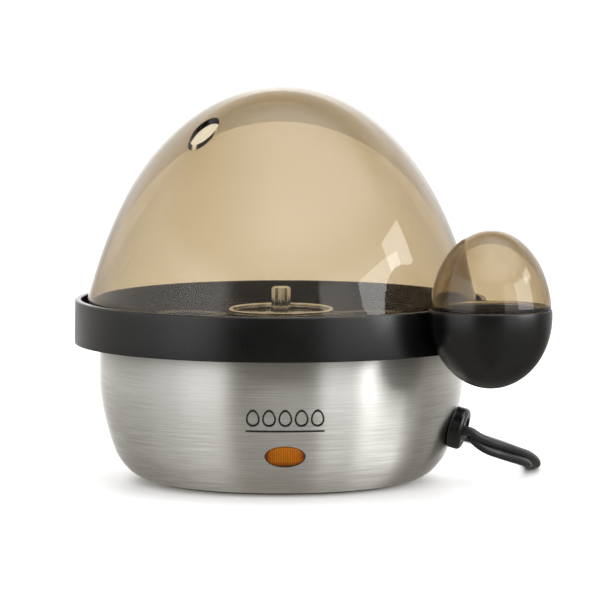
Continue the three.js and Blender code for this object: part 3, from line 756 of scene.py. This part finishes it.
# ---------- lid ----------
def lid_band():
    band = lathe("band", rounded([
        (BAND_RADIUS + 0.3, BAND_BOTTOM, 0.4), (BAND_RADIUS, BAND_TOP, 0.9), (BAND_INNER, BAND_TOP, 0.6),
        (BAND_INNER, LEDGE_TOP), (LEDGE_INNER, LEDGE_TOP, 0.3), (LEDGE_INNER, LEDGE_BOTTOM, 0.3),
        (84.8, LEDGE_BOTTOM), (84.8, 62.6, 0.3), (86.3, 62.6, 0.3), (86.3, LEDGE_BOTTOM),
        (BAND_INNER + 0.5, LEDGE_BOTTOM), (BAND_INNER + 0.5, BAND_BOTTOM, 0.3),
    ]))
    place = on_ring(POD_DISTANCE, POD_AZIMUTH)
    outline = [(p[0], POD_RIM_Z - POD_DEPTH + p[1]) for p in egg_profile(POD_CURVE, POD_DEPTH, 40)]
    rim = rounded([outline[-2], (outline[-1][0], POD_RIM_Z, 0.5), (0, POD_RIM_Z)])[1:]
    egg = moved(lathe("egg", outline[:-1] + rim, 128), place.x, place.y)
    bay = lathe("bay", [(0, LEDGE_TOP), (BAND_INNER, LEDGE_TOP), (BAND_INNER, 100), (0, 100)])
    egg = combine(egg, bay, "DIFFERENCE")
    wall = [(min(r - 2.3, POD_WELL_RADIUS), z) for r, z in outline if z > POD_WELL_FLOOR + 4]
    well = moved(lathe("well", [
        (0, POD_WELL_FLOOR), (9, POD_WELL_FLOOR), *wall, (POD_WELL_RADIUS, POD_RIM_Z + 1),
        (0, POD_RIM_Z + 1),
    ], 96), place.x, place.y)
    whole = combine(combine(band, egg, "UNION"), well, "DIFFERENCE")
    piece("lid_band", whole, "lid", "black_plastic", ("lid_ring",))


def dome():
    depth = DOME_APEX - BAND_TOP
    outside = [Vector((r, DOME_APEX - d)) for r, d in egg_profile(DOME_CURVE, depth, 70)]
    outside.append(Vector((DOME_FOOT_RADIUS, DOME_FOOT + 2)))
    inside = offset(outside, -DOME_WALL)
    inside[-1] = Vector((DOME_FOOT_RADIUS - DOME_WALL, DOME_FOOT))
    foot = rounded([
        (DOME_FOOT_RADIUS, DOME_FOOT + 2), (90.3, DOME_FOOT + 2, 0.3), (90.3, DOME_FOOT, 0.3),
        (DOME_FOOT_RADIUS - DOME_WALL, DOME_FOOT),
    ])[1:-1]
    shell = lathe("dome", outside + foot + inside[::-1], 240)
    place = on_ring(VENT_RING, VENT_AZIMUTH)
    hole = prism("vent", circle(VENT_RADIUS, 96, (place.x, place.y)), 140, 180)
    shell = combine(shell, hole, "DIFFERENCE")
    piece("smoked_dome", shell, "lid", "smoked_plastic", ("dome",))


def cup():
    place = on_ring(POD_DISTANCE, POD_AZIMUTH)
    outside = [
        Vector((min(r, CUP_RADIUS), CUP_FOOT_Z + CUP_RISE - d))
        for r, d in egg_profile(CUP_CURVE, CUP_RISE, 48)
    ]
    inside = offset(outside, -CUP_WALL)
    spigot = POD_WELL_RADIUS - 0.5
    inside[-1] = Vector((spigot - 1.5, CUP_FOOT_Z))
    foot = rounded([
        tuple(outside[-2]), (outside[-1].x, CUP_FOOT_Z, 0.35), (spigot, CUP_FOOT_Z, 0.2),
        (spigot, CUP_FOOT_Z - 4, 0.3), (spigot - 1.5, CUP_FOOT_Z - 4, 0.3), (spigot - 1.5, CUP_FOOT_Z),
    ])[1:-1]
    mesh = moved(lathe("cup", outside[:-1] + foot + inside[::-1], 160), place.x, place.y)
    piece("small_dome_cup", mesh, "cup", "smoked_plastic", ("measuring_cup",), finish="smoked_cup")


def tray():
    plate = lathe("plate", rounded([
        (0, HUB_TOP), (HUB_RADIUS, HUB_TOP, 0.6), (HUB_RADIUS + 0.4, TRAY_TOP, 0.6),
        (TRAY_RADIUS, TRAY_TOP, 0.5), (TRAY_RADIUS, TRAY_BOTTOM, 0.3), (HUB_RADIUS - 1.4, TRAY_BOTTOM),
        (HUB_RADIUS - 1.8, HUB_TOP - 1.8, 1.2), (0, HUB_TOP - 1.8),
    ]), 144)
    raised = []
    holes = [prism("stem_hole", circle(KNOB_STEM_RADIUS + 0.3, 40), 60, 80)]
    for i in range(SEAT_COUNT):
        angle = 90 + 360 * i / SEAT_COUNT
        seat, steam = on_ring(SEAT_RING, angle), on_ring(69, angle + 180 / SEAT_COUNT)
        collar = lathe("collar", rounded([
            (0, TRAY_BOTTOM), (SEAT_HOLE + 1.8, TRAY_BOTTOM), (SEAT_HOLE + 1.8, COLLAR_TOP, 0.6),
            (0, COLLAR_TOP),
        ]), 64)
        raised.append(moved(collar, seat.x, seat.y))
        cutter = lathe("seat", [(0, 60), (SEAT_HOLE, 60), (SEAT_HOLE, COLLAR_TOP - 1.2),
                                (SEAT_HOLE + 1.2, COLLAR_TOP + 0.1), (SEAT_HOLE + 1.2, 80), (0, 80)], 64)
        holes.append(moved(cutter, seat.x, seat.y))
        holes.append(moved(prism("steam", circle(3, 32), 60, 80), steam.x, steam.y))
    whole = combine(plate, merged("raised", raised), "UNION")
    whole = combine(whole, merged("holes", holes), "DIFFERENCE")
    piece("seat_tray", whole, "tray", "clear_plastic", ("egg_tray",))


def knob():
    """A fluted knob with a domed end, on a stem through the tray's hub."""
    count, flutes = 128, 8
    rows = [
        (HUB_TOP + 0.3, 0.9), (HUB_TOP + 0.7, 1.0), (KNOB_TOP - 1.4, 1.0), (KNOB_TOP - 0.5, 0.93),
        (KNOB_TOP - 0.1, 0.72), (KNOB_TOP, 0.4),
    ]
    vertices, faces = [], []
    for j, (z, share) in enumerate(rows):
        for k in range(count):
            angle = 2 * math.pi * k / count
            radius = share * (KNOB_RADIUS + KNOB_FLUTE * math.cos(flutes * angle))
            vertices.append((radius * math.cos(angle), radius * math.sin(angle), z))
        if j:
            faces += ring_faces((j - 1) * count, count)
    faces += end_faces(vertices, count)
    grip = mesh_from("grip", vertices, faces)
    stem = lathe("stem", rounded([
        (0, HUB_TOP - 2.8), (KNOB_STEM_RADIUS, HUB_TOP - 2.8, 0.4), (KNOB_STEM_RADIUS, HUB_TOP + 1),
        (0, HUB_TOP + 1),
    ]), 40)
    piece("steel_knob", combine(grip, stem, "UNION"), "tray", "polished_steel", ("tray_knob",))


def hub_ring():
    low, high = HUB_TOP + 0.3, HUB_TRIM_TOP
    ring = lathe("hub_ring", rounded([
        (HUB_TRIM_INNER, low), (HUB_RADIUS, low, 0.2), (HUB_RADIUS, high, 0.6), (HUB_TRIM_INNER, high, 0.6),
        (HUB_TRIM_INNER, low),
    ]), 144)
    piece("hub_ring", ring, "tray", "polished_steel", ("hub_trim",))


lid_band()
dome()
cup()
tray()
knob()
hub_ring()


# ---------- finishes of the CAD pieces that stay ----------
def dress_cad_nodes():
    slots = {part["node"]: part["material_slot"] for part in frame["record"]["subparts"]}
    for name, obj in frame["nodes"].items():
        material = MATERIALS[slots[name]]
        if obj.data.materials:
            for i in range(len(obj.data.materials)):
                obj.data.materials[i] = material
        else:
            obj.data.materials.append(material)


dress_cad_nodes()


# ---------- stage and light ----------
def add_floor():
    half = 6000
    corners = [(-half, -half, 0), (half, -half, 0), (half, half, 0), (-half, half, 0)]
    mesh = mesh_from("floor", corners, [[0, 1, 2, 3]])
    moved(mesh, z=FLOOR)
    s = Shader("floor", Specular_IOR_Level=0.2)
    s.drive("Base Color", s.blend(s.noise(3, 2.0), (0.90, 0.90, 0.90), (0.92, 0.92, 0.92)))
    s.drive("Roughness", s.span(s.noise(5, 2.0), 0.5, 0.6))
    mesh.materials.append(s.material)
    obj = bpy.data.objects.new("floor", mesh)
    bpy.context.scene.collection.objects.link(obj)
    obj.visible_glossy = False


# what gloss sees level with the object, by degrees to the right of straight ahead
STUDIO = (
    (-180, 1.6), (-158, 0.72), (-125, 0.58), (-100, 0.62), (-75, 0.89), (-60, 1.27), (-41, 1.27),
    (-31, 0.16), (-24, 0.07), (20, 0.10), (23, 0.12), (25, 1.25), (46, 1.05), (68, 0.8), (76, 0.72),
    (90, 0.50), (101, 0.20), (114, 0.36), (130, 0.50), (152, 0.80), (180, 1.5),
)


WARM, WHITE = (1.0, 0.93, 0.80), (1, 1, 1)  # the studio's colour where it is dark, and where bright
SEEN_WHITE, DIFFUSE_WHITE = 1.03, 1.45  # how bright it is to the eye, and to matt surfaces


def add_world():
    """White to the eye and through clear plastic; to the rest a studio with cards at the sides."""
    world = bpy.data.worlds.new("studio")
    world.use_nodes = True
    tree = world.node_tree
    background = tree.nodes["Background"]

    def node(kind, inputs, **settings):
        return add_node(tree, kind, inputs, **settings)

    def math_node(operation, a, b=0.0):
        return node("ShaderNodeMath", {0: a, 1: b}, operation=operation).outputs[0]

    def rise(value, low, high):
        inputs = {0: value, 1: low, 2: high}
        return node("ShaderNodeMapRange", inputs, interpolation_type="SMOOTHSTEP").outputs[0]

    def lerp(factor, a, b):
        return node("ShaderNodeMix", {0: factor, 2: a, 3: b}).outputs[0]

    direction = tree.nodes.new("ShaderNodeTexCoord").outputs["Generated"]
    x, y, z = node("ShaderNodeSeparateXYZ", {0: direction}).outputs
    turn = math_node("ARCTAN2", x, math_node("MULTIPLY", y, -1.0))
    share = math_node("ADD", math_node("DIVIDE", turn, 2 * math.pi), 0.5)
    ramp = node("ShaderNodeValToRGB", {0: share})
    stops = ramp.color_ramp.elements
    while len(stops) < len(STUDIO):
        stops.new(0.5)
    for stop, (degrees, value) in zip(stops, STUDIO):
        stop.position = degrees / 360 + 0.5
        stop.color = (value, value, value, 1)
    level = ramp.outputs["Color"]
    ahead = lerp(rise(x, -0.8, 0.1), 0.15, 2.7)
    box = math_node("MULTIPLY", rise(z, 0.46, 0.76), math_node("SUBTRACT", ahead, 0.3))
    behind = lerp(rise(z, 0.5, 0.75), 1.0, 0.3)
    high = lerp(rise(y, -0.1, 0.3), math_node("ADD", box, 0.3), behind)
    high = lerp(rise(z, 0.64, 0.95), high, lerp(rise(y, 0.0, 0.75), ahead, 0.3))
    card = math_node("ADD", math_node("MULTIPLY", level, 1.5), 0.2)
    upper = lerp(rise(z, 0.46, 0.56), lerp(rise(z, 0.0, 0.2), level, card), high)
    lower = math_node("ADD", math_node("MULTIPLY", level, 0.10), 0.31)
    lower = math_node("MULTIPLY", lower, lerp(rise(y, -0.1, 0.5), 1.0, 0.55))
    lower = lerp(rise(z, -0.3, -0.12), lower, level)
    value = lerp(rise(z, -0.06, 0.04), lower, upper)
    path = tree.nodes.new("ShaderNodeLightPath").outputs
    through = math_node("MULTIPLY", path["Is Transmission Ray"], rise(y, -0.85, -0.55))
    seen = math_node("MAXIMUM", path["Is Camera Ray"], through)
    value = lerp(path["Is Diffuse Ray"], value, DIFFUSE_WHITE)
    colour = mix_colours(tree, value, WARM, WHITE)
    tree.links.new(colour, background.inputs["Color"])
    tree.links.new(lerp(seen, value, SEEN_WHITE), background.inputs["Strength"])
    bpy.context.scene.world = world


def towards(azimuth, elevation):
    """The direction at degrees to the right of straight ahead, and up."""
    a, e = math.radians(azimuth), math.radians(elevation)
    return Vector((math.sin(a) * math.cos(e), -math.cos(a) * math.cos(e), math.sin(e)))


def add_softbox(name, azimuth, elevation, distance, size, radiance):
    """A rectangular lamp that faces the object, seen in gloss but never by the camera."""
    away = towards(azimuth, elevation)
    data = bpy.data.lights.new(name, "AREA")
    data.shape = "RECTANGLE"
    data.size, data.size_y = size
    data.energy = radiance * math.pi * size[0] * size[1]
    lamp = bpy.data.objects.new(name, data)
    lamp.location = away * distance + Vector((0, 0, 0.06))
    lamp.rotation_mode = "QUATERNION"
    lamp.rotation_quaternion = (-away).to_track_quat("-Z", "Y")
    lamp.visible_camera = False
    lamp.visible_transmission = False
    bpy.context.scene.collection.objects.link(lamp)


def add_sun(azimuth, elevation, strength, angle):
    """An even lamp from far away, for the floor and what is inside; it leaves no mark in gloss."""
    away = towards(azimuth, elevation)
    data = bpy.data.lights.new("overhead", "SUN")
    data.energy, data.angle = strength, math.radians(angle)
    lamp = bpy.data.objects.new("overhead", data)
    lamp.rotation_mode = "QUATERNION"
    lamp.rotation_quaternion = (-away).to_track_quat("-Z", "Y")
    lamp.visible_glossy = False
    bpy.context.scene.collection.objects.link(lamp)


def add_lights():
    add_softbox("softbox_right", 66, 14, 1.4, (0.80, 0.70), 4.0)
    add_softbox("softbox_right_top", 84, 27, 1.4, (0.46, 0.22), 4.5)
    add_sun(170, 60, 0.9, 80)


add_floor()
add_world()
add_lights()
bpy.context.scene.view_settings.view_transform = "Standard"
